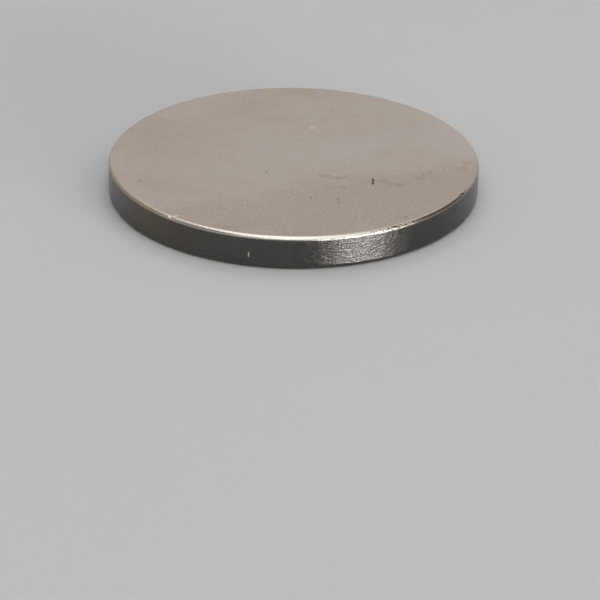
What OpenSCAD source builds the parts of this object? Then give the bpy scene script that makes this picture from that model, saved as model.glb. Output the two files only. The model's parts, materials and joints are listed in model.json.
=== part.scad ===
// Disc magnet: one flat round disc, sintered and pressed in one piece, then
// tumbled, which rounds both of its edges alike, and plated all over.
//
// Millimetres. The origin is the centre of the bottom face, and +Z runs along
// the disc's axis, which is also its direction of magnetisation.

/* [Disc] */
// Diameter over the plating
disc_d = 22; // [6:0.5:60]
// Thickness over the plating, from face to face
disc_t = 2; // [1:0.1:10]
// Radius of the tumbled edges, the same at the top face and the bottom face
edge_r = 0.25; // [0.05:0.05:0.45]

/* [Hidden] */
// Facets of a full circle in a preview
$fn = 128;

// Radius of the upright wall
disc_r = disc_d / 2;
// Radius of each flat face, which ends where its edge starts to round
face_r = disc_r - edge_r;
// Height of the upright wall between the two rounded edges
wall_h = disc_t - 2 * edge_r;

// Half of the disc's section, from its axis out to the wall: X is the radius
// and Y the height. A quarter of each circle is the rounding of one edge.
module half_section() {
    square([face_r, disc_t]);
    translate([0, edge_r])
        square([disc_r, wall_h]);
    for (height = [edge_r, disc_t - edge_r])
        translate([face_r, height])
            circle(r = edge_r);
}

module magnet_disc() {
    color([0.61, 0.54, 0.48])
        rotate_extrude()
            half_section();
}

magnet_disc();
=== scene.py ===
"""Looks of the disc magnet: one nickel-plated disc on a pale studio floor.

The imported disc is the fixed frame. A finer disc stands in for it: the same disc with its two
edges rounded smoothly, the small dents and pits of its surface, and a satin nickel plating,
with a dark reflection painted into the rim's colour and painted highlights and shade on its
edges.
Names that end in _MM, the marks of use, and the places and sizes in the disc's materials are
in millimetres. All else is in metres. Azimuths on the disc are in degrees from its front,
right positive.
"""

import json
import math

import bpy
import numpy as np
from mathutils import Matrix, Vector
from mathutils.geometry import delaunay_2d_cdt


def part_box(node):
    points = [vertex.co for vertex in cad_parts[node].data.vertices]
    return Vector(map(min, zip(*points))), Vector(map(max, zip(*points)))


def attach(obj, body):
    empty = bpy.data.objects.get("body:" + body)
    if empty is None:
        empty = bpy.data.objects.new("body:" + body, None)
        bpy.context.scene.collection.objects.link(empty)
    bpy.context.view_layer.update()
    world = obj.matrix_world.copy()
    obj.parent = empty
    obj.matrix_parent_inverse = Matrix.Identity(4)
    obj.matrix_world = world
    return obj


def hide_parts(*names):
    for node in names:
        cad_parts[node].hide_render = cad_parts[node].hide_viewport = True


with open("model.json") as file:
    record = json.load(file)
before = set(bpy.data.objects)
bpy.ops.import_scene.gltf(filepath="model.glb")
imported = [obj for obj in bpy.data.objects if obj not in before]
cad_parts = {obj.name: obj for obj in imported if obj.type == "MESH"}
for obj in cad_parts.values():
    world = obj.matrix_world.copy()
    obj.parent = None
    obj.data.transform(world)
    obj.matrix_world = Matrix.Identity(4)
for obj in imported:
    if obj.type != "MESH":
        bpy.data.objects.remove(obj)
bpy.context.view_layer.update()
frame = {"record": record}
MM = 0.001

# --- The disc, from the frame -------------------------------------------------------------

LOW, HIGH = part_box("magnet_disc")
RADIUS = (HIGH.x - LOW.x) / 2
THICKNESS = HIGH.z - LOW.z
# The wall mount's length is what the two rounded edges leave of the thickness.
RIM = next(m for m in frame["record"]["mounts"] if m["name"] == "rim")
EDGE_RADIUS = (THICKNESS - RIM["dims"]["length_mm"] * MM) / 2
RADIUS_MM, THICKNESS_MM, EDGE_MM = RADIUS / MM, THICKNESS / MM, EDGE_RADIUS / MM
FACE_RADIUS_MM = (RADIUS - EDGE_RADIUS) / MM

# --- Marks of use: places from the disc's axis, X right, Y back -----------------------------

# Dents in the edge: azimuth, angle round the edge's section in degrees from the wall (0) to
# the face (90), length along the edge, width across it, depth
EDGE_DENTS = [
    (-39.3, 62.0, 0.45, 0.22, 0.035),
    (63.5, 62.0, 0.42, 0.24, 0.055),
    (24.0, 40.0, 0.35, 0.14, 0.018),
    (118.0, 50.0, 0.45, 0.20, 0.030),
    (-152.0, 45.0, 0.35, 0.20, 0.025),
]
# Dents in the wall: azimuth, height, width, height of the dent, depth
WALL_DENTS = [
    (-12.9, 0.80, 0.10, 0.42, 0.020),
    (71.0, 1.20, 0.16, 0.12, 0.010),
    (-61.0, 0.60, 0.12, 0.16, 0.010),
    (161.0, 1.05, 0.14, 0.30, 0.015),
]
# Pits in the top face: x, y, width, length towards the back, depth
FACE_PITS = [
    (4.65, -3.10, 0.14, 0.42, 0.030),
    (4.63, -3.52, 0.14, 0.42, 0.030),
]
# Dark specks on the top face: x, y, width, length towards the back, darkness
SPECKS = [
    (1.02, -5.65, 0.16, 0.30, 0.62),
    (2.59, -5.80, 0.16, 0.30, 0.66),
    (2.62, -6.25, 0.16, 0.27, 0.55),
    (-1.58, -2.15, 0.14, 0.30, 0.55),
    (-1.42, -2.62, 0.13, 0.22, 0.39),
    (-8.93, -3.60, 0.14, 0.30, 0.55),
    (-7.25, -3.45, 0.12, 0.22, 0.27),
    (-4.45, 0.35, 0.13, 0.34, 0.31),
    (-3.60, 0.80, 0.12, 0.30, 0.23),
    (-0.68, 4.69, 0.15, 0.30, 0.35),
    (-1.93, 2.52, 0.14, 0.26, 0.22),
    (3.00, -1.20, 0.12, 0.45, 0.22),
    (6.42, -8.00, 0.22, 0.30, 0.47),
    (7.60, -2.10, 0.16, 0.38, 0.35),
]
# Thin brown smudges on the top face: the points of each, its width, its strength
SMUDGES = [
    (((1.55, -2.4), (2.25, -2.95), (3.0, -2.75)), 0.70, 0.72),
    (((1.85, -4.0), (2.5, -4.2), (3.1, -4.0)), 0.60, 0.65),
    (((4.75, -3.0), (5.35, -3.35), (5.9, -3.7), (6.45, -3.6)), 0.75, 0.78),
    (((7.2, -3.0), (7.7, -2.4), (8.15, -1.7)), 0.70, 0.60),
    (((8.3, -1.3), (8.6, -1.0)), 0.45, 0.45),
    (((9.8, -1.8), (10.2, -0.95), (10.45, -0.3)), 0.70, 0.48),
    (((0.95, 5.05), (1.95, 5.85), (3.0, 6.7)), 0.34, 0.18),
    (((3.45, 6.4), (3.9, 6.6)), 0.60, 0.32),
    (((5.9, -8.2), (6.6, -7.9)), 0.60, 0.45),
    (((-10.6, 0.9), (-10.4, 1.5)), 0.50, 0.45),
]
# Wide faint darker patches on the top face, the widest over its left and back: x, y, length,
# width, angle in degrees, and strength, which is below 0 for a lighter place
TONE_PATCHES = [
    (-0.90, 5.60, 5.6, 2.6, 22.0, 0.22),
    (3.40, 8.60, 2.4, 1.6, 0.0, 0.25),
    (-4.00, 0.10, 2.0, 1.8, 0.0, 0.16),
    (6.00, -2.80, 9.0, 2.6, 12.0, 0.16),
    (1.60, -3.40, 4.0, 2.2, 10.0, 0.14),
    (-8.50, 2.50, 18.0, 22.0, 0.0, 0.42),
    (0.00, 10.80, 14.0, 6.0, 0.0, 0.50),
    (-2.60, 7.50, 8.0, 6.0, 0.0, 0.35),
    (-7.80, -4.40, 7.0, 5.0, -30.0, 0.38),
    (-3.60, -9.60, 5.5, 2.5, 20.0, 0.40),
    (10.20, 2.80, 8.0, 9.5, 0.0, -0.40),
]
# The front part of the top face is a little browner, up to a line across the face that
# rises to the right, y = FRONT_RISE * x + FRONT_AT. It fades from this far before the line to
# this far past it.
FRONT_RISE, FRONT_AT = 0.36, -4.4
FRONT_BEFORE, FRONT_PAST = 1.7, 1.3
# The pale spot on the top face: x, y, width, length towards the back, strength
PALE_SPOT = (1.1, 4.5, 0.5, 0.8, 0.6)
# The two strokes of the nick in the top edge: azimuth, distance in from the outline, size,
# angle in degrees
NICK_STROKES = [
    (-38.6, 0.30, (0.55, 0.13, 0.4), 20.0),
    (-39.9, 0.12, (0.34, 0.14, 0.6), -50.0),
]
# Parts of the top edge: azimuth, length, height, and the share of it at full strength
EDGE_PAINTED_SHADE_PART = (-62.0, 11.0, 6.0, 0.45)
EDGE_PAINTED_HIGHLIGHT_PART = (-2.0, 17.5, 6.0, 0.35)
BROKEN_LINE_PART = (37.0, 5.4, 4.0, 0.8)
LINE_PART = (53.0, 6.0, 4.0, 0.6)
FAINT_LINE_PART = (-27.0, 5.0, 4.0, 0.4)
CHIP_PART = (64.3, 0.22, 0.5, 0.5)
# The middle of such a part lies this far in from the outline
PART_INWARD = 0.1
# Where the edge is battered most: azimuth and size
BATTERED_AT, BATTERED_SIZE = 27.0, (11.0, 7.0, 4.0)
# The brownish part of the wall, and the painted glint in it at a dent: azimuth, height, size
BROWNISH_PART = (-48.0, 1.0, (9.0, 9.0, 9.0))
WALL_PAINTED_GLINT_PART = (-12.9, 0.8, (0.11, 0.11, 0.42))

# --- Camera -------------------------------------------------------------------------------

# Elevation and roll in degrees; the distance is from the middle of the top face
CAMERA_ELEVATION = 24.0
CAMERA_ROLL = 0.8
CAMERA_DISTANCE = 13.57 * RADIUS
CAMERA_AIM = Vector((0.04 * RADIUS, -1.33 * RADIUS, 0))
# Focal length and width of the sensor, in millimetres
CAMERA_LENS, CAMERA_SENSOR = 150.3, 36
CAMERA_NEAR, CAMERA_FAR = 0.01, 10


def add_camera():
    data = bpy.data.cameras.new("camera")
    data.sensor_width = CAMERA_SENSOR
    data.lens = CAMERA_LENS
    data.clip_start = CAMERA_NEAR
    data.clip_end = CAMERA_FAR
    camera = bpy.data.objects.new("camera", data)
    bpy.context.scene.collection.objects.link(camera)
    bpy.context.scene.camera = camera
    rise = math.radians(CAMERA_ELEVATION)
    away = Vector((0, -math.cos(rise), math.sin(rise)))
    place = away * CAMERA_DISTANCE + Vector((0, 0, THICKNESS))
    turn = (CAMERA_AIM - place).to_track_quat("-Z", "Y").to_matrix()
    roll = Matrix.Rotation(math.radians(CAMERA_ROLL), 3, "Z")
    camera.matrix_world = Matrix.Translation(place) @ (turn @ roll).to_4x4()


# --- Mesh of the disc ---------------------------------------------------------------------

# Steps round the rim: the widest, the one at a dent, how far from the middle of a dent that
# one is kept, and how fast the steps grow from there on
RING_STEP_MM, DENT_STEP_MM, DENT_REACH_MM, RING_GROWTH = 0.12, 0.02, 0.35, 0.15
# Steps across a face: the widest, the one where the face rolls off, and how fast they grow
FACE_STEP_MM, ROLL_OFF_STEP_MM, FACE_GROWTH = 1.2, 0.16, 0.35
# Steps across a pit's width, and how fast the steps grow away from the pit
PIT_STEPS, PIT_GROWTH = 8, 0.25
# The square cells that a face's points are sought in: the side of the largest, how much
# larger than the wanted step a cell may be, and how far inside the face its middle has to
# be, as a share of its side
CELL_MM, CELL_SLACK, CELL_INSET = 1.5, 1.4, 0.6
# Steps down one rounded edge, and down the wall
EDGE_STEPS, WALL_STEPS = 12, 16
# The faces fall away a little towards their outlines
ROLL_OFF_WIDTH_MM, ROLL_OFF_DEPTH_MM, ROLL_OFF_POWER = 0.8, 0.006, 2.5
# How much the edges' radius wavers, as a share of it, and how far the wall dips on average
EDGE_WAVER, WALL_DIP_MM = 0.04, 0.002
# The wavering is a sum of this many waves. Each has so many crests round the disc, at least
# and at most, in the edges and in the wall.
WAVE_COUNT = 9
EDGE_TURNS, WALL_TURNS = (3, 24), (8, 90)
TOP_SEED, FOOT_SEED, WALL_SEED = 3, 4, 5
# For delaunay_2d_cdt: keep what is inside the loop, and how near points are one point
INSIDE_LOOP, SAME_POINT = 1, 1e-7


def waves(seed, lowest, highest):
    """A smooth random function of an angle, mostly between -1.5 and 1.5, that repeats every
    turn."""
    rng = np.random.default_rng(seed)
    turns = rng.integers(lowest, highest + 1, WAVE_COUNT)
    phases = rng.uniform(0, 2 * math.pi, WAVE_COUNT)
    size = math.sqrt(WAVE_COUNT)
    return lambda angle: sum(np.sin(n * angle + p) for n, p in zip(turns, phases)) / size


def turn_from(start, angle):
    """The turn from start to angle, from half a turn back to half a turn on."""
    return (angle - start + math.pi) % (2 * math.pi) - math.pi


def ring_angles():
    """Angles round the disc, from the front and to the right, closer together at a dent."""
    places = [math.radians(dent[0]) for dent in EDGE_DENTS + WALL_DENTS]
    found, angle = [], 0.0
    while angle < 2 * math.pi:
        found.append(angle)
        gap = min(abs(turn_from(place, angle)) * RADIUS_MM for place in places)
        reach = max(0, gap - DENT_REACH_MM)
        angle += min(RING_STEP_MM, DENT_STEP_MM + RING_GROWTH * reach) / RADIUS_MM
    return np.array(found)


def section():
    """Points down the section, from the top face's edge to the bottom face's edge: how far up
    the surface faces there in degrees, 90 at the top face and -90 at the bottom face, and the
    place along the wall, 1 at its top and 0 at its foot."""
    top = [(90 * (1 - k / EDGE_STEPS), 1.0) for k in range(EDGE_STEPS + 1)]
    wall = [(0.0, 1 - k / WALL_STEPS) for k in range(1, WALL_STEPS)]
    foot = [(-90 * k / EDGE_STEPS, 0.0) for k in range(EDGE_STEPS + 1)]
    return top + wall + foot


def step_length(above, below):
    """Length of one step down the section, in millimetres."""
    bend = abs(math.radians(above[0] - below[0])) * EDGE_MM
    return bend + abs(above[1] - below[1]) * (THICKNESS_MM - 2 * EDGE_MM)


def rim_points(angles):
    """The rim's rings as an array (ring, angle, xyz) in millimetres, dents included."""
    top_wave, foot_wave = waves(TOP_SEED, *EDGE_TURNS), waves(FOOT_SEED, *EDGE_TURNS)
    dip_wave = waves(WALL_SEED, *WALL_TURNS)
    rings = []
    for slope, along in section():
        out, up = math.cos(math.radians(slope)), math.sin(math.radians(slope))
        waver = top_wave(angles) * along + foot_wave(angles) * (1 - along)
        edge = EDGE_MM * (1 + EDGE_WAVER * waver)
        radius = RADIUS_MM - edge * (1 - out)
        radius = radius - WALL_DIP_MM * (1 + dip_wave(angles)) * out
        level = edge + along * (THICKNESS_MM - 2 * edge) + edge * up
        points = np.stack([radius * np.sin(angles), -radius * np.cos(angles), level], 1)
        normal = np.stack([out * np.sin(angles), -out * np.cos(angles), up + 0 * angles], 1)
        rings.append(points - normal * rim_dents(points)[:, None])
    return np.array(rings)


def rim_dents(points):
    """How deep the dents of the rim are at each of these points, in millimetres."""
    depth = np.zeros(len(points))
    angles = np.arctan2(points[:, 0], -points[:, 1])
    radius, level = np.hypot(points[:, 0], points[:, 1]), points[:, 2]
    for azimuth, slope, length, width, deep in EDGE_DENTS:
        out, up = math.cos(math.radians(slope)), math.sin(math.radians(slope))
        centre = (RADIUS_MM - EDGE_MM + EDGE_MM * out, THICKNESS_MM - EDGE_MM + EDGE_MM * up)
        along = turn_from(math.radians(azimuth), angles)
        across = np.hypot(radius - centre[0], level - centre[1])
        far = np.hypot(along * RADIUS_MM / (length / 2), across / (width / 2))
        depth = np.maximum(depth, deep * np.clip(1 - far, 0, 1))
    for azimuth, height, width, tall, deep in WALL_DENTS:
        along = turn_from(math.radians(azimuth), angles)
        far = np.hypot(along * RADIUS_MM / (width / 2), (level - height) / (tall / 2))
        depth = np.maximum(depth, deep * np.clip(1 - far ** 2, 0, 1))
    return depth


def face_depth(x, y, pits):
    """How far the face lies under its plane at each point, in millimetres."""
    inside = (np.hypot(x, y) - FACE_RADIUS_MM + ROLL_OFF_WIDTH_MM) / ROLL_OFF_WIDTH_MM
    depth = ROLL_OFF_DEPTH_MM * np.clip(inside, 0, 1) ** ROLL_OFF_POWER
    for pit_x, pit_y, width, length, deep in pits:
        far = np.hypot((x - pit_x) / (width / 2), (y - pit_y) / (length / 2))
        depth = np.maximum(depth, deep * np.clip(1 - far ** 2, 0, 1))
    return depth


def wanted_step(x, y, pits):
    """How far apart the face's points should be here, in millimetres."""
    inward = FACE_RADIUS_MM - math.hypot(x, y)
    growth = FACE_GROWTH * max(0.0, inward - ROLL_OFF_WIDTH_MM)
    step = min(FACE_STEP_MM, ROLL_OFF_STEP_MM + growth)
    for pit_x, pit_y, width, length, _ in pits:
        gap_x = max(0, abs(x - pit_x) - width / 2)
        gap_y = max(0, abs(y - pit_y) - length / 2)
        step = min(step, width / PIT_STEPS + PIT_GROWTH * math.hypot(gap_x, gap_y))
    return step


def face_points(pits):
    """Points inside the face, closer together at a pit and where the face rolls off."""
    found = []
    across = 2 * math.ceil(FACE_RADIUS_MM / CELL_MM)
    start = -CELL_MM * across / 2
    cells = [(start + CELL_MM * i, start + CELL_MM * j, CELL_MM)
             for i in range(across) for j in range(across)]
    while cells:
        x, y, side = cells.pop()
        half = side / 2
        middle = (x + half, y + half)
        if math.hypot(*middle) - side > FACE_RADIUS_MM:
            continue
        if side > wanted_step(*middle, pits) * CELL_SLACK:
            cells += [(x, y, half), (x + half, y, half), (x, y + half, half), (*middle, half)]
        elif math.hypot(*middle) < FACE_RADIUS_MM - side * CELL_INSET:
            found.append(middle)
    return found


def face_mesh(ring, pits, up):
    """Triangles of one flat face inside its ring of points: new points, and the faces as
    indices in which the ring's points come first."""
    count = len(ring)
    flat = [Vector((p[0], p[1])) for p in ring] + [Vector(p) for p in face_points(pits)]
    loop = [(i, (i + 1) % count) for i in range(count)]
    points, _, faces, _, _, _ = delaunay_2d_cdt(flat, loop, [], INSIDE_LOOP, SAME_POINT)
    if len(points) != len(flat):
        raise RuntimeError("the face's triangles need the points as they were given")
    places = np.array([(p.x, p.y) for p in points])
    depth = face_depth(places[:, 0], places[:, 1], pits)
    level = THICKNESS_MM - depth if up else depth
    faces = [f if up else f[::-1] for f in faces]
    return np.column_stack([places, level])[count:], faces


def disc_mesh():
    angles = ring_angles()
    rings = rim_points(angles)
    count, depth = len(angles), len(rings)
    rings[0, :, 2] = THICKNESS_MM - ROLL_OFF_DEPTH_MM
    rings[-1, :, 2] = ROLL_OFF_DEPTH_MM
    points = rings.reshape(-1, 3)
    faces, kinds = [], []
    slopes = section()
    for j in range(depth - 1):
        is_wall = slopes[j][0] == 0 and slopes[j + 1][0] == 0
        for i in range(count):
            k = (i + 1) % count
            faces.append((j * count + i, (j + 1) * count + i, (j + 1) * count + k, j * count + k))
            kinds.append("wall" if is_wall else "edge")
    for ring, first, pits, up in ((rings[0], 0, FACE_PITS, True),
                                  (rings[-1], (depth - 1) * count, [], False)):
        extra, triangles = face_mesh(ring, pits, up)
        start = len(points)
        points = np.vstack([points, extra])
        for f in triangles:
            faces.append(tuple(first + i if i < count else start + i - count for i in f))
            kinds.append("top" if up else "foot")
    mesh = bpy.data.meshes.new("nickel_disc")
    mesh.from_pydata((points * MM).tolist(), [], faces)
    add_bake_map(mesh, points, kinds, count)
    # The wall has the second material, and all else the first
    mesh.polygons.foreach_set("material_index", [int(kind == "wall") for kind in kinds])
    mesh.polygons.foreach_set("use_smooth", [True] * len(faces))
    mesh.update()
    return mesh


# The piece's own map: left, bottom and side of each face's square, and the rim cut into
# strips that lie one above the other
TOP_ISLAND = (0.01, 0.01, 0.60)
FOOT_ISLAND = (0.63, 0.01, 0.36)
STRIPS = 4
STRIP_LEFT, STRIP_LENGTH = 0.01, 0.98
STRIPS_FROM, STRIP_HEIGHT, STRIP_GAP = 0.63, 0.08, 0.012


def add_bake_map(mesh, points, kinds, count):
    """The piece's own map: both faces as seen from above, and the rim as strips. The rim's
    points come first, count to a ring."""
    layer = mesh.uv_layers.new(name="OFBake")
    span = 2 * RADIUS_MM
    quarter = 2 * math.pi / STRIPS
    slopes = section()
    steps = [step_length(above, below) for above, below in zip(slopes, slopes[1:])]
    lengths = np.cumsum([0] + steps)
    for polygon, kind in zip(mesh.polygons, kinds):
        corners = [mesh.loops[i].vertex_index for i in polygon.loop_indices]
        if kind in ("top", "foot"):
            left, bottom, side = TOP_ISLAND if kind == "top" else FOOT_ISLAND
            places = [(left + side * (points[c][0] / span + 0.5),
                       bottom + side * (points[c][1] / span + 0.5)) for c in corners]
        else:
            turn = [math.atan2(points[c][0], -points[c][1]) % (2 * math.pi) for c in corners]
            if max(turn) - min(turn) > math.pi:
                turn = [a + 2 * math.pi if a < math.pi else a for a in turn]
            strip = min(STRIPS - 1, int(sum(turn) / len(turn) / quarter))
            bottom = STRIPS_FROM + strip * (STRIP_HEIGHT + STRIP_GAP)
            down = [lengths[c // count] / lengths[-1] for c in corners]
            places = [(STRIP_LEFT + STRIP_LENGTH * (a - strip * quarter) / quarter,
                       bottom + STRIP_HEIGHT * (1 - d)) for a, d in zip(turn, down)]
        for i, place in zip(polygon.loop_indices, places):
            layer.data[i].uv = place


# --- Materials ----------------------------------------------------------------------------

NICKEL = (0.610, 0.537, 0.480)
# The rim's colour, far darker than the faces' plating: a painted dark reflection of what the
# real one mirrors; and what it is multiplied by where it is darkest
RIM_PAINTED_DARK_REFLECTION = (0.120, 0.113, 0.105)
RIM_SHADE = 0.80
# What the plating's colour is multiplied by where it is soiled through
SOIL = (0.84, 0.785, 0.73)
SMUDGE = (0.70, 0.62, 0.50)
# The pale spot, and the pits and specks
PALE = (0.80, 0.73, 0.67)
PIT = (0.13, 0.108, 0.085)
# The edge at the left, painted darker and yellower: painted shade, warm as the light there
EDGE_PAINTED_SHADE = (0.42, 0.355, 0.25)
# The edge at the front, painted lighter: a painted highlight
EDGE_PAINTED_HIGHLIGHT = (0.84, 0.79, 0.715)
# The edge's dark line, a painted dark reflection, and the dark chip
EDGE_PAINTED_REFLECTION_AND_CHIP = (0.085, 0.076, 0.065)
# The nick in the edge, painted lighter than the plating: a painted highlight on a real nick
NICK_PAINTED_HIGHLIGHT = (0.86, 0.83, 0.76)
# The brownish part of the wall, and the painted glint in it
BROWNISH = (0.155, 0.133, 0.096)
WALL_PAINTED_GLINT = (0.80, 0.72, 0.52)

# Noises: their bumps to a millimetre, their detail and their roughness
CLOUDS = (0.16, 3.0, 0.55)
MOTTLING = (0.9, 4.0, 0.62)
FINE_MOTTLING = (7.0, 2.0, 0.60)
GRAIN = (9.0, 3.0, 0.6)
SMUDGE_BREAKS = (3.0, 3.0, 0.6)
LINE_BREAKS = (5.0, 2.0, 0.6)
FACE_PEEL = (4.5, 2.0, 0.5)
BATTERING = (6.0, 3.0, 0.6)
CHIPPING = (12.0, 2.0, 0.6)
STREAKS = (1.0, 3.0, 0.62)
PATCHES = (0.35, 3.0, 0.6)
WALL_PEEL = (8.5, 2.0, 0.6)
FROST = (11.0, 2.0, 0.6)
# What the place is multiplied by along X, Y and Z for some of them, and a shift for one
FACE_SQUEEZE = (0.7, 1.0, 1.0)
STREAK_SQUEEZE = (2.9, 2.9, 8.0)
WALL_PEEL_SQUEEZE, WALL_PEEL_SHIFT = (0.45, 0.45, 1.0), (3.7, 1.3, 0.0)
# Noises that push outlines about: their bumps to a millimetre, and how far they push
STAIN_SWAY, SPECK_SWAY, FRONT_SWAY = (1.6, 0.9), (9.0, 0.10), (0.45, 2.2)
SWAY_DETAIL = 3.0
# Where in a noise's range the smooth step of a mask begins and ends
FACE_CONTRAST, WALL_CONTRAST = (0.30, 0.70), (0.35, 0.68)
SMUDGE_CONTRAST, LINE_CONTRAST, ROUGHNESS_CONTRAST = (0.30, 0.58), (0.46, 0.54), (0.25, 0.75)

# How much the front part, the clouds and the mottling soil the top face. The fine mottling
# goes up and down by FINE_SOIL times what it has everywhere, and more in the front part.
FRONT_SOIL, CLOUD_SOIL, MOTTLING_SOIL, FINE_SOIL = 0.52, 0.26, 0.24, 0.55
FINE_EVERYWHERE, FINE_MORE_IN_FRONT = 0.35, 0.45
# What is left of a smudge where the noise breaks it up most
SMUDGE_LEAST = 0.40
# How much the patches and the streaks shade the wall, and how strong its brownish part is
PATCH_SHADE, STREAK_SHADE, BROWNISH_STRENGTH = 0.5, 0.4, 0.5
# Roughness of the faces, and what the grain, the edges, the nick and the pits add to it
FACE_ROUGHNESS, GRAIN_ROUGHNESS, EDGE_ROUGHNESS = 0.125, 0.04, 0.09
NICK_ROUGHNESS, PIT_ROUGHNESS = 0.30, 0.45
# Roughness of the wall from the lowest to the highest part of its streaks
WALL_ROUGHNESS = (0.225, 0.28)
# How much further the wall spreads what it mirrors one way, and the turn of that way
WALL_ANISOTROPY, WALL_ANISOTROPY_TURN = 0.97, 0.25
# How deep the unevenness in the materials is
FACE_PEEL_MM, GRAIN_MM, BATTERING_MM, CHIPPING_MM = 0.0030, 0.0012, 0.0160, 0.0240
WALL_PEEL_MM, STREAKS_MM, FROST_MM = 0.0180, 0.0260, 0.0100

# The share of each mark that is at full strength
PIT_CORE, SPECK_CORE, NICK_CORE, SMUDGE_CORE, WALL_PAINTED_GLINT_CORE = 0.6, 0.4, 0.5, 0.15, 0.5
# Height of the marks' ellipsoids, which have their middle in the face's plane
SPECK_TALL, SMUDGE_TALL, STAIN_TALL = 0.3, 1.0, 2.0
# How much wider and longer than the pit its dark colour is, and how much longer each ellipse
# of a smudge is than its step
PIT_WIDER, PIT_LONGER, SMUDGE_LONGER = 1.3, 1.5, 1.7
# Depth under a face at which it turns into the rounded edge's plating: from, to
EDGE_FROM, EDGE_TO = 0.008, 0.025
# Depth under the top face at which the top edge turns into the wall's painted dark reflection,
# and height over the bottom face at which the bottom edge does: from, to
LOW_EDGE_FROM, LOW_EDGE_TO = 0.11, 0.21
FOOT_EDGE_FROM, FOOT_EDGE_TO = 0.01, 0.03
# The top face's marks end within this far of half the thickness
TOP_SOFTNESS = 0.1
# The dark line in the top edge, a painted dark reflection: its upper and lower depth under the
# top face, its strength, and how softly its lower and upper side end, outwards and inwards
LINE, LINE_STRENGTH = (0.025, 0.120), 0.85
FAINT_LINE, FAINT_LINE_STRENGTH = (0.075, 0.115), 0.75
LOWER_SIDE, UPPER_SIDE = (0.02, 0.01), (0.015, 0.01)


class Tree:
    """Short calls for building a metal's nodes."""

    def __init__(self, name):
        self.material = bpy.data.materials.new(name)
        self.material.use_nodes = True
        self.tree = self.material.node_tree
        self.tree.nodes.clear()
        self.shader = self.node("ShaderNodeBsdfPrincipled")
        self.shader.inputs["Metallic"].default_value = 1.0
        out = self.node("ShaderNodeOutputMaterial")
        self.tree.links.new(self.shader.outputs[0], out.inputs["Surface"])
        coordinates = self.node("ShaderNodeTexCoord").outputs["Object"]
        # The point on the disc, in millimetres
        self.place = self.vector("SCALE", coordinates, scale=1 / MM)

    def node(self, kind, **settings):
        made = self.tree.nodes.new(kind)
        for name, value in settings.items():
            setattr(made, name, value)
        return made

    def feed(self, socket, value):
        if isinstance(value, bpy.types.NodeSocket):
            self.tree.links.new(value, socket)
        elif isinstance(value, tuple) and len(value) == 3 and socket.type == "RGBA":
            socket.default_value = (*value, 1.0)
        elif value is not None:
            socket.default_value = value

    def shade(self, name, value):
        """Feeds the shader's input of this name."""
        self.feed(self.shader.inputs[name], value)

    def math(self, operation, a, b=None, c=None, clamp=False):
        made = self.node("ShaderNodeMath", operation=operation, use_clamp=clamp)
        for socket, value in zip(made.inputs, (a, b, c)):
            self.feed(socket, value)
        return made.outputs[0]

    def times(self, a, b):
        return self.math("MULTIPLY", a, b)

    def vector(self, operation, a, b=None, scale=None):
        made = self.node("ShaderNodeVectorMath", operation=operation)
        self.feed(made.inputs[0], a)
        self.feed(made.inputs[1], b)
        self.feed(made.inputs[3], scale)
        return made.outputs["Value" if operation in ("LENGTH", "DOT_PRODUCT") else "Vector"]

    def stretch(self, scale, shift=(0, 0, 0)):
        """The place with each axis scaled, for a texture that is longer one way."""
        made = self.node("ShaderNodeMapping")
        self.feed(made.inputs["Vector"], self.place)
        self.feed(made.inputs["Location"], shift)
        self.feed(made.inputs["Scale"], scale)
        return made.outputs[0]

    def sway(self, scale, reach):
        """The place pushed about by a noise, so that what is drawn there has uneven outlines."""
        made = self.node("ShaderNodeTexNoise")
        self.feed(made.inputs["Vector"], self.place)
        self.feed(made.inputs["Scale"], scale)
        self.feed(made.inputs["Detail"], SWAY_DETAIL)
        push = self.vector("SUBTRACT", made.outputs["Color"], (0.5, 0.5, 0.5))
        return self.vector("ADD", self.place, self.vector("SCALE", push, scale=reach))

    def noise(self, place, scale, detail, roughness):
        made = self.node("ShaderNodeTexNoise")
        self.feed(made.inputs["Vector"], place)
        self.feed(made.inputs["Scale"], scale)
        self.feed(made.inputs["Detail"], detail)
        self.feed(made.inputs["Roughness"], roughness)
        return made.outputs["Fac"]

    def ramp(self, value, low, high, to_low=0.0, to_high=1.0):
        """to_low up to low, to_high from high on, and a smooth step between them."""
        made = self.node("ShaderNodeMapRange", interpolation_type="SMOOTHSTEP")
        for socket, number in zip(made.inputs, (value, low, high, to_low, to_high)):
            self.feed(socket, number)
        return made.outputs[0]

    def mix(self, factor, a, b):
        made = self.node("ShaderNodeMix", data_type="RGBA")
        colours = [socket for socket in made.inputs if socket.type == "RGBA"]
        self.feed(made.inputs[0], factor)
        self.feed(colours[0], a)
        self.feed(colours[1], b)
        return [socket for socket in made.outputs if socket.type == "RGBA"][0]

    def bump(self, height, depth_mm, normal=None):
        made = self.node("ShaderNodeBump")
        made.inputs["Strength"].default_value = 1.0
        made.inputs["Distance"].default_value = depth_mm * MM
        self.feed(made.inputs["Height"], height)
        self.feed(made.inputs["Normal"], normal)
        return made.outputs["Normal"]

    def spot(self, place, centre, size, turn=0.0, inside=0.0):
        """1 in the middle of an ellipsoid of this size, out to this share of the way to its
        surface, and from there falling off to 0 at the surface."""
        made = self.node("ShaderNodeMapping", vector_type="TEXTURE")
        self.feed(made.inputs["Vector"], place)
        self.feed(made.inputs["Location"], centre)
        self.feed(made.inputs["Rotation"], (0, 0, math.radians(turn)))
        self.feed(made.inputs["Scale"], tuple(extent / 2 for extent in size))
        return self.ramp(self.vector("LENGTH", made.outputs[0]), inside, 1.0, 1.0, 0.0)

    def edge_part(self, part):
        """The spot in which this part of the top edge lies."""
        azimuth, length, height, inside = part
        return self.spot(self.place, on_edge(azimuth), (length, length, height), inside=inside)

    def strongest(self, masks):
        found = masks[0]
        for mask in masks[1:]:
            found = self.math("MAXIMUM", found, mask)
        return found


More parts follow.
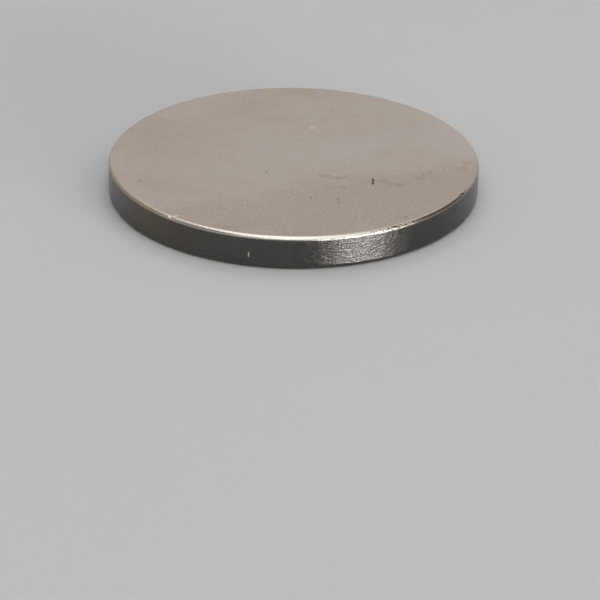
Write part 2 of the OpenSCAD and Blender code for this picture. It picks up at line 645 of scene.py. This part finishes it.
def on_face(x, y):
    return (x, y, THICKNESS_MM)


def on_edge(azimuth, inward=PART_INWARD):
    """A point of the top face's plane, this far in from the disc's outline."""
    angle, radius = math.radians(azimuth), RADIUS_MM - inward
    return (radius * math.sin(angle), -radius * math.cos(angle), THICKNESS_MM)


def on_wall(azimuth, height):
    angle = math.radians(azimuth)
    return (RADIUS_MM * math.sin(angle), -RADIUS_MM * math.cos(angle), height)


def soiled(share):
    """The faces' plating with its three colour values multiplied by these."""
    return tuple(a * b for a, b in zip(NICKEL, share))


def face_material():
    """Satin nickel of both faces and of the rounded edges, with the top face's marks, and with
    painted highlights, painted shade and painted dark reflections on the edges.
    """
    face = Tree("nickel_plate")
    half = THICKNESS_MM / 2
    apart = face.node("ShaderNodeSeparateXYZ")
    face.feed(apart.inputs[0], face.place)
    height = apart.outputs["Z"]
    from_middle = face.math("ABSOLUTE", face.math("SUBTRACT", height, half))
    # 1 on both rounded edges and 0 on the flat faces
    edge = face.ramp(from_middle, half - EDGE_TO, half - EDGE_FROM, 1.0, 0.0)
    top = face.ramp(height, half - TOP_SOFTNESS, half + TOP_SOFTNESS)

    clouds = face.noise(face.place, *CLOUDS)
    mottling = face.noise(face.place, *MOTTLING)
    fine = face.noise(face.stretch(FACE_SQUEEZE), *FINE_MOTTLING)
    grain = face.noise(face.stretch(FACE_SQUEEZE), *GRAIN)
    swayed = face.sway(*STAIN_SWAY)

    smudge = face.times(face_smudges(face, swayed), top)
    pit = face.times(face.strongest(
        [face.spot(face.place, on_face(x, y), (PIT_WIDER * width, PIT_LONGER * length, SPECK_TALL),
                   inside=PIT_CORE)
         for x, y, width, length, _ in FACE_PITS]), top)
    shaken = face.sway(*SPECK_SWAY)
    speck = face.times(face.strongest(
        [face.times(face.spot(shaken, on_face(x, y), (width, length, SPECK_TALL),
                              inside=SPECK_CORE), dark)
         for x, y, width, length, dark in SPECKS]), top)
    nick = face.strongest(
        [face.spot(shaken, on_edge(azimuth, inward), size, turn, inside=NICK_CORE)
         for azimuth, inward, size, turn in NICK_STROKES])
    rise = face.vector("DOT_PRODUCT", face.sway(*FRONT_SWAY), (-FRONT_RISE, 1.0, 0.0))
    front = face.ramp(rise, FRONT_AT - FRONT_BEFORE, FRONT_AT + FRONT_PAST, 1.0, 0.0)

    cloudy = face.ramp(clouds, *FACE_CONTRAST, 0.0, CLOUD_SOIL)
    soil = face.math("MULTIPLY_ADD", front, FRONT_SOIL, cloudy)
    soil = face.math("ADD", soil, face.ramp(mottling, *FACE_CONTRAST, 0.0, MOTTLING_SOIL))
    for x, y, length, width, turn, strength in TONE_PATCHES:
        mask = face.spot(swayed, on_face(x, y), (length, width, STAIN_TALL), turn)
        soil = face.math("MULTIPLY_ADD", mask, strength, soil)
    # Fine mottling, stronger in the front part
    fine_part = face.math("MULTIPLY_ADD", front, FINE_MORE_IN_FRONT, FINE_EVERYWHERE)
    fine_soil = face.ramp(fine, *FACE_CONTRAST, -FINE_SOIL, FINE_SOIL)
    soil = face.math("MULTIPLY_ADD", fine_soil, fine_part, soil, clamp=True)
    colour = face.mix(soil, NICKEL, soiled(SOIL))
    x, y, width, length, strength = PALE_SPOT
    pale = face.spot(face.place, on_face(x, y), (width, length, SMUDGE_TALL))
    colour = face.mix(face.times(pale, strength), colour, PALE)
    colour = face.mix(smudge, colour, soiled(SMUDGE))
    colour = face.mix(face.math("MAXIMUM", pit, speck), colour, PIT)
    # The lower part of the top edge, and the bottom edge, take the wall's painted dark reflection
    low_edge_painted_dark = face.times(
        face.ramp(height, THICKNESS_MM - LOW_EDGE_TO, THICKNESS_MM - LOW_EDGE_FROM, 1.0, 0.0),
        face.ramp(height, FOOT_EDGE_FROM, FOOT_EDGE_TO))
    # Painted warm shade on the edge at the left
    colour = face.mix(face.times(edge, face.edge_part(EDGE_PAINTED_SHADE_PART)), colour, EDGE_PAINTED_SHADE)
    # Painted highlight on the edge at the front
    colour = face.mix(face.times(edge, face.edge_part(EDGE_PAINTED_HIGHLIGHT_PART)), colour, EDGE_PAINTED_HIGHLIGHT)
    colour = face.mix(low_edge_painted_dark, colour, RIM_PAINTED_DARK_REFLECTION)
    # Painted dark reflection line in the edge, and the dark chip
    colour = face.mix(face.times(edge, edge_painted_reflection_and_chip(face, height)), colour, EDGE_PAINTED_REFLECTION_AND_CHIP)
    # The nick painted light: a painted highlight
    face.shade("Base Color", face.mix(nick, colour, NICK_PAINTED_HIGHLIGHT))

    rough = face.math("MULTIPLY_ADD", grain, GRAIN_ROUGHNESS, FACE_ROUGHNESS)
    rough = face.math("MULTIPLY_ADD", edge, EDGE_ROUGHNESS, rough)
    rough = face.math("MULTIPLY_ADD", nick, NICK_ROUGHNESS, rough)
    face.shade("Roughness", face.math("MULTIPLY_ADD", pit, PIT_ROUGHNESS, rough, clamp=True))

    peel = face.noise(face.place, *FACE_PEEL)
    # The edge is a little battered, most of all at the front right
    worst = face.spot(face.place, on_edge(BATTERED_AT), BATTERED_SIZE, BATTERED_AT)
    battered = face.times(edge, face.noise(face.place, *BATTERING))
    chipped = face.times(face.times(edge, worst), face.noise(face.place, *CHIPPING))
    normal = face.bump(peel, FACE_PEEL_MM)
    normal = face.bump(grain, GRAIN_MM, normal)
    normal = face.bump(battered, BATTERING_MM, normal)
    face.shade("Normal", face.bump(chipped, CHIPPING_MM, normal))
    return face.material


def face_smudges(tree, place):
    """The thin smudges: a chain of soft ellipses along each, broken up by a fine noise."""
    masks = []
    for path, width, strength in SMUDGES:
        for (x0, y0), (x1, y1) in zip(path, path[1:]):
            length = math.hypot(x1 - x0, y1 - y0)
            turn = math.degrees(math.atan2(y1 - y0, x1 - x0))
            size = (SMUDGE_LONGER * length, width, SMUDGE_TALL)
            middle = on_face((x0 + x1) / 2, (y0 + y1) / 2)
            mask = tree.spot(place, middle, size, turn, inside=SMUDGE_CORE)
            masks.append(tree.times(mask, strength))
    breaks = tree.noise(tree.place, *SMUDGE_BREAKS)
    broken = tree.ramp(breaks, *SMUDGE_CONTRAST, SMUDGE_LEAST, 1.0)
    return tree.times(tree.strongest(masks), broken)


def edge_painted_reflection_and_chip(tree, height):
    """The thin dark line in the middle of the rounded edge, a painted dark reflection: broken where
    it begins at the front right, solid towards the right, and faint at the front left; and the
    dark chip."""

    def line(depths):
        upper, lower = (THICKNESS_MM - depth for depth in depths)
        return tree.times(
            tree.ramp(height, lower - LOWER_SIDE[0], lower + LOWER_SIDE[1]),
            tree.ramp(height, upper - UPPER_SIDE[1], upper + UPPER_SIDE[0], 1.0, 0.0))

    broken = tree.ramp(tree.noise(tree.place, *LINE_BREAKS), *LINE_CONTRAST)
    begun = tree.times(broken, tree.edge_part(BROKEN_LINE_PART))
    right = tree.math("MAXIMUM", begun, tree.edge_part(LINE_PART))
    right = tree.times(tree.times(right, line(LINE)), LINE_STRENGTH)
    left = tree.edge_part(FAINT_LINE_PART)
    left = tree.times(tree.times(left, line(FAINT_LINE)), FAINT_LINE_STRENGTH)
    return tree.strongest([right, left, tree.edge_part(CHIP_PART)])


def wall_material():
    """The ground wall: streaked round the disc, so a light in it draws out into a column. Its
    colour is a painted dark reflection, with a painted glint at one dent.
    """
    wall = Tree("nickel_rim_painted_dark")
    wall.shade("Anisotropic", WALL_ANISOTROPY)
    wall.shade("Anisotropic Rotation", WALL_ANISOTROPY_TURN)
    tangent = wall.node("ShaderNodeTangent", direction_type="RADIAL", axis="Z")
    wall.shade("Tangent", tangent.outputs[0])

    streaks = wall.noise(wall.stretch(STREAK_SQUEEZE), *STREAKS)
    patches = wall.noise(wall.place, *PATCHES)
    peel = wall.noise(wall.stretch(WALL_PEEL_SQUEEZE, WALL_PEEL_SHIFT), *WALL_PEEL)
    frost = wall.noise(wall.place, *FROST)

    azimuth, height, size = BROWNISH_PART
    brownish = wall.spot(wall.place, on_wall(azimuth, height), size)
    # Painted glint: a bright spot at a dent in the wall
    azimuth, height, size = WALL_PAINTED_GLINT_PART
    painted_glint = wall.spot(wall.place, on_wall(azimuth, height), size, inside=WALL_PAINTED_GLINT_CORE)
    shade = wall.math("ADD", wall.ramp(patches, *WALL_CONTRAST, 0.0, PATCH_SHADE),
                      wall.ramp(streaks, *WALL_CONTRAST, 0.0, STREAK_SHADE), clamp=True)
    # The painted dark reflection, varied at random by the patches and streaks
    colour = wall.mix(shade, RIM_PAINTED_DARK_REFLECTION, tuple(RIM_SHADE * c for c in RIM_PAINTED_DARK_REFLECTION))
    colour = wall.mix(wall.times(brownish, BROWNISH_STRENGTH), colour, BROWNISH)
    wall.shade("Base Color", wall.mix(painted_glint, colour, WALL_PAINTED_GLINT))
    wall.shade("Roughness", wall.ramp(streaks, *ROUGHNESS_CONTRAST, *WALL_ROUGHNESS))

    normal = wall.bump(peel, WALL_PEEL_MM)
    normal = wall.bump(streaks, STREAKS_MM, normal)
    wall.shade("Normal", wall.bump(frost, FROST_MM, normal))
    return wall.material


def add_disc():
    disc = bpy.data.objects.new("nickel_disc", disc_mesh())
    bpy.context.scene.collection.objects.link(disc)
    disc.data.materials.append(face_material())
    disc.data.materials.append(wall_material())
    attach(disc, "root")
    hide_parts("magnet_disc")


# --- Studio -------------------------------------------------------------------------------

FLOOR_COLOUR = 0.65
# The floor lies this far under the disc, so that its surface isn't in the bottom face's plane
FLOOR_GAP = 0.00001
# The sweep: radius of its flat floor, radius of its bend, height of its top, and the radii of
# the rings of points in its floor
BOWL_FLAT, BOWL_BEND, BOWL_HEIGHT = 0.45, 0.30, 0.70
BOWL_FLOOR_RINGS = (0.05, 0.2)
BEND_STEPS, BOWL_SIDES = 24, 96
# The paper's even tone behind the disc and at its sides, and how far back it changes
BACK_LEVEL, SIDE_LEVEL = 0.62, 0.48
BACK_FROM, BACK_TO = 0.30, 0.72
# How far from the disc the lit paper goes over into the even tone
PAPER_FROM, PAPER_TO = 0.16, 0.60
# The grey of the air
WORLD_LEVEL = 0.48
# Lamps: name, azimuth in degrees from behind the disc (right positive), elevation, distance,
# width, height, brightness. The low narrow one makes the bright band in the wall.
SOFTBOXES = [
    ("key_softbox", 0, 52, 0.50, 0.24, 0.30, 0.95),
    ("top_softbox", 180, 88, 0.50, 0.42, 0.44, 0.80),
    ("front_softbox", 180, 50, 0.50, 0.20, 0.22, 1.0),
    ("right_softbox", 135, 36, 0.45, 0.30, 0.30, 0.5),
    ("low_softbox", 140, 3.2, 0.45, 0.25, 0.045, 66.0),
]


def paper_material():
    """Matt pale paper. Away from the disc it is an even pale tone for the camera and for what
    the metal mirrors, a little paler behind the disc, whatever the lamps do there."""
    material = bpy.data.materials.new("studio_paper")
    material.use_nodes = True
    nodes, links = material.node_tree.nodes, material.node_tree.links
    shader = nodes["Principled BSDF"]
    shader.inputs["Base Color"].default_value = (FLOOR_COLOUR, FLOOR_COLOUR, FLOOR_COLOUR, 1)
    shader.inputs["Roughness"].default_value = 1.0
    shader.inputs["Specular IOR Level"].default_value = 0.0

    def math_node(operation, a, b):
        made = nodes.new("ShaderNodeMath")
        made.operation = operation
        links.new(a, made.inputs[0])
        links.new(b, made.inputs[1])
        return made.outputs[0]

    def ramp(value, low, high, to_low, to_high):
        made = nodes.new("ShaderNodeMapRange")
        made.interpolation_type = "SMOOTHSTEP"
        for socket, number in zip(made.inputs[1:5], (low, high, to_low, to_high)):
            socket.default_value = number
        links.new(value, made.inputs[0])
        return made.outputs["Result"]

    rays = nodes.new("ShaderNodeLightPath")
    seen = math_node("MAXIMUM", rays.outputs["Is Camera Ray"], rays.outputs["Is Glossy Ray"])
    seen = math_node("MAXIMUM", seen, rays.outputs["Is Transmission Ray"])
    place = nodes.new("ShaderNodeTexCoord")
    apart = nodes.new("ShaderNodeSeparateXYZ")
    links.new(place.outputs["Object"], apart.inputs[0])
    length = nodes.new("ShaderNodeVectorMath")
    length.operation = "LENGTH"
    links.new(place.outputs["Object"], length.inputs[0])
    glow = nodes.new("ShaderNodeEmission")
    tone = ramp(apart.outputs["Y"], BACK_FROM, BACK_TO, SIDE_LEVEL, BACK_LEVEL)
    links.new(tone, glow.inputs["Strength"])
    mix = nodes.new("ShaderNodeMixShader")
    away = ramp(length.outputs["Value"], PAPER_FROM, PAPER_TO, 0.0, 1.0)
    links.new(math_node("MULTIPLY", seen, away), mix.inputs[0])
    links.new(shader.outputs[0], mix.inputs[1])
    links.new(glow.outputs[0], mix.inputs[2])
    links.new(mix.outputs[0], nodes["Material Output"].inputs["Surface"])
    return material


def add_backdrop():
    """A round studio sweep: a flat floor that bends up into a wall all round."""
    profile = [(radius, 0.0) for radius in BOWL_FLOOR_RINGS]
    for k in range(BEND_STEPS + 1):
        bend = math.radians(90 * k / BEND_STEPS)
        profile.append((BOWL_FLAT + BOWL_BEND * math.sin(bend), BOWL_BEND * (1 - math.cos(bend))))
    profile.append((BOWL_FLAT + BOWL_BEND, BOWL_HEIGHT))
    turns = [2 * math.pi * k / BOWL_SIDES for k in range(BOWL_SIDES)]
    points = [(0, 0, -FLOOR_GAP)]
    for radius, height in profile:
        points += [(radius * math.cos(turn), radius * math.sin(turn), height - FLOOR_GAP)
                   for turn in turns]
    pairs = [(k, (k + 1) % BOWL_SIDES) for k in range(BOWL_SIDES)]
    faces = [(0, 1 + k, 1 + following) for k, following in pairs]
    for j in range(len(profile) - 1):
        inner, outer = 1 + j * BOWL_SIDES, 1 + (j + 1) * BOWL_SIDES
        faces += [(inner + k, outer + k, outer + following, inner + following)
                  for k, following in pairs]
    mesh = bpy.data.meshes.new("studio_sweep")
    mesh.from_pydata(points, [], faces)
    mesh.polygons.foreach_set("use_smooth", [True] * len(faces))
    mesh.materials.append(paper_material())
    sweep = bpy.data.objects.new("studio_sweep", mesh)
    bpy.context.scene.collection.objects.link(sweep)


def add_softbox(name, azimuth, elevation, distance, width, height, radiance):
    """A rectangular lamp that faces the disc. The camera doesn't see it; the metal mirrors it."""
    data = bpy.data.lights.new(name, "AREA")
    data.shape = "RECTANGLE"
    data.size, data.size_y = width, height
    data.energy = radiance * math.pi * width * height
    lamp = bpy.data.objects.new(name, data)
    bpy.context.scene.collection.objects.link(lamp)
    turn, rise = math.radians(azimuth), math.radians(elevation)
    way = Vector((math.sin(turn) * math.cos(rise), math.cos(turn) * math.cos(rise), math.sin(rise)))
    place = way * distance
    facing = (-place).to_track_quat("-Z", "Y").to_matrix().to_4x4()
    lamp.matrix_world = Matrix.Translation(place) @ facing
    lamp.visible_camera = False


def add_world():
    world = bpy.data.worlds.new("studio_air")
    world.use_nodes = True
    background = world.node_tree.nodes["Background"]
    background.inputs["Color"].default_value = (WORLD_LEVEL, WORLD_LEVEL, WORLD_LEVEL, 1)
    bpy.context.scene.world = world


add_camera()
add_disc()
add_backdrop()
for softbox in SOFTBOXES:
    add_softbox(*softbox)
add_world()
bpy.context.scene.view_settings.view_transform = "Standard"
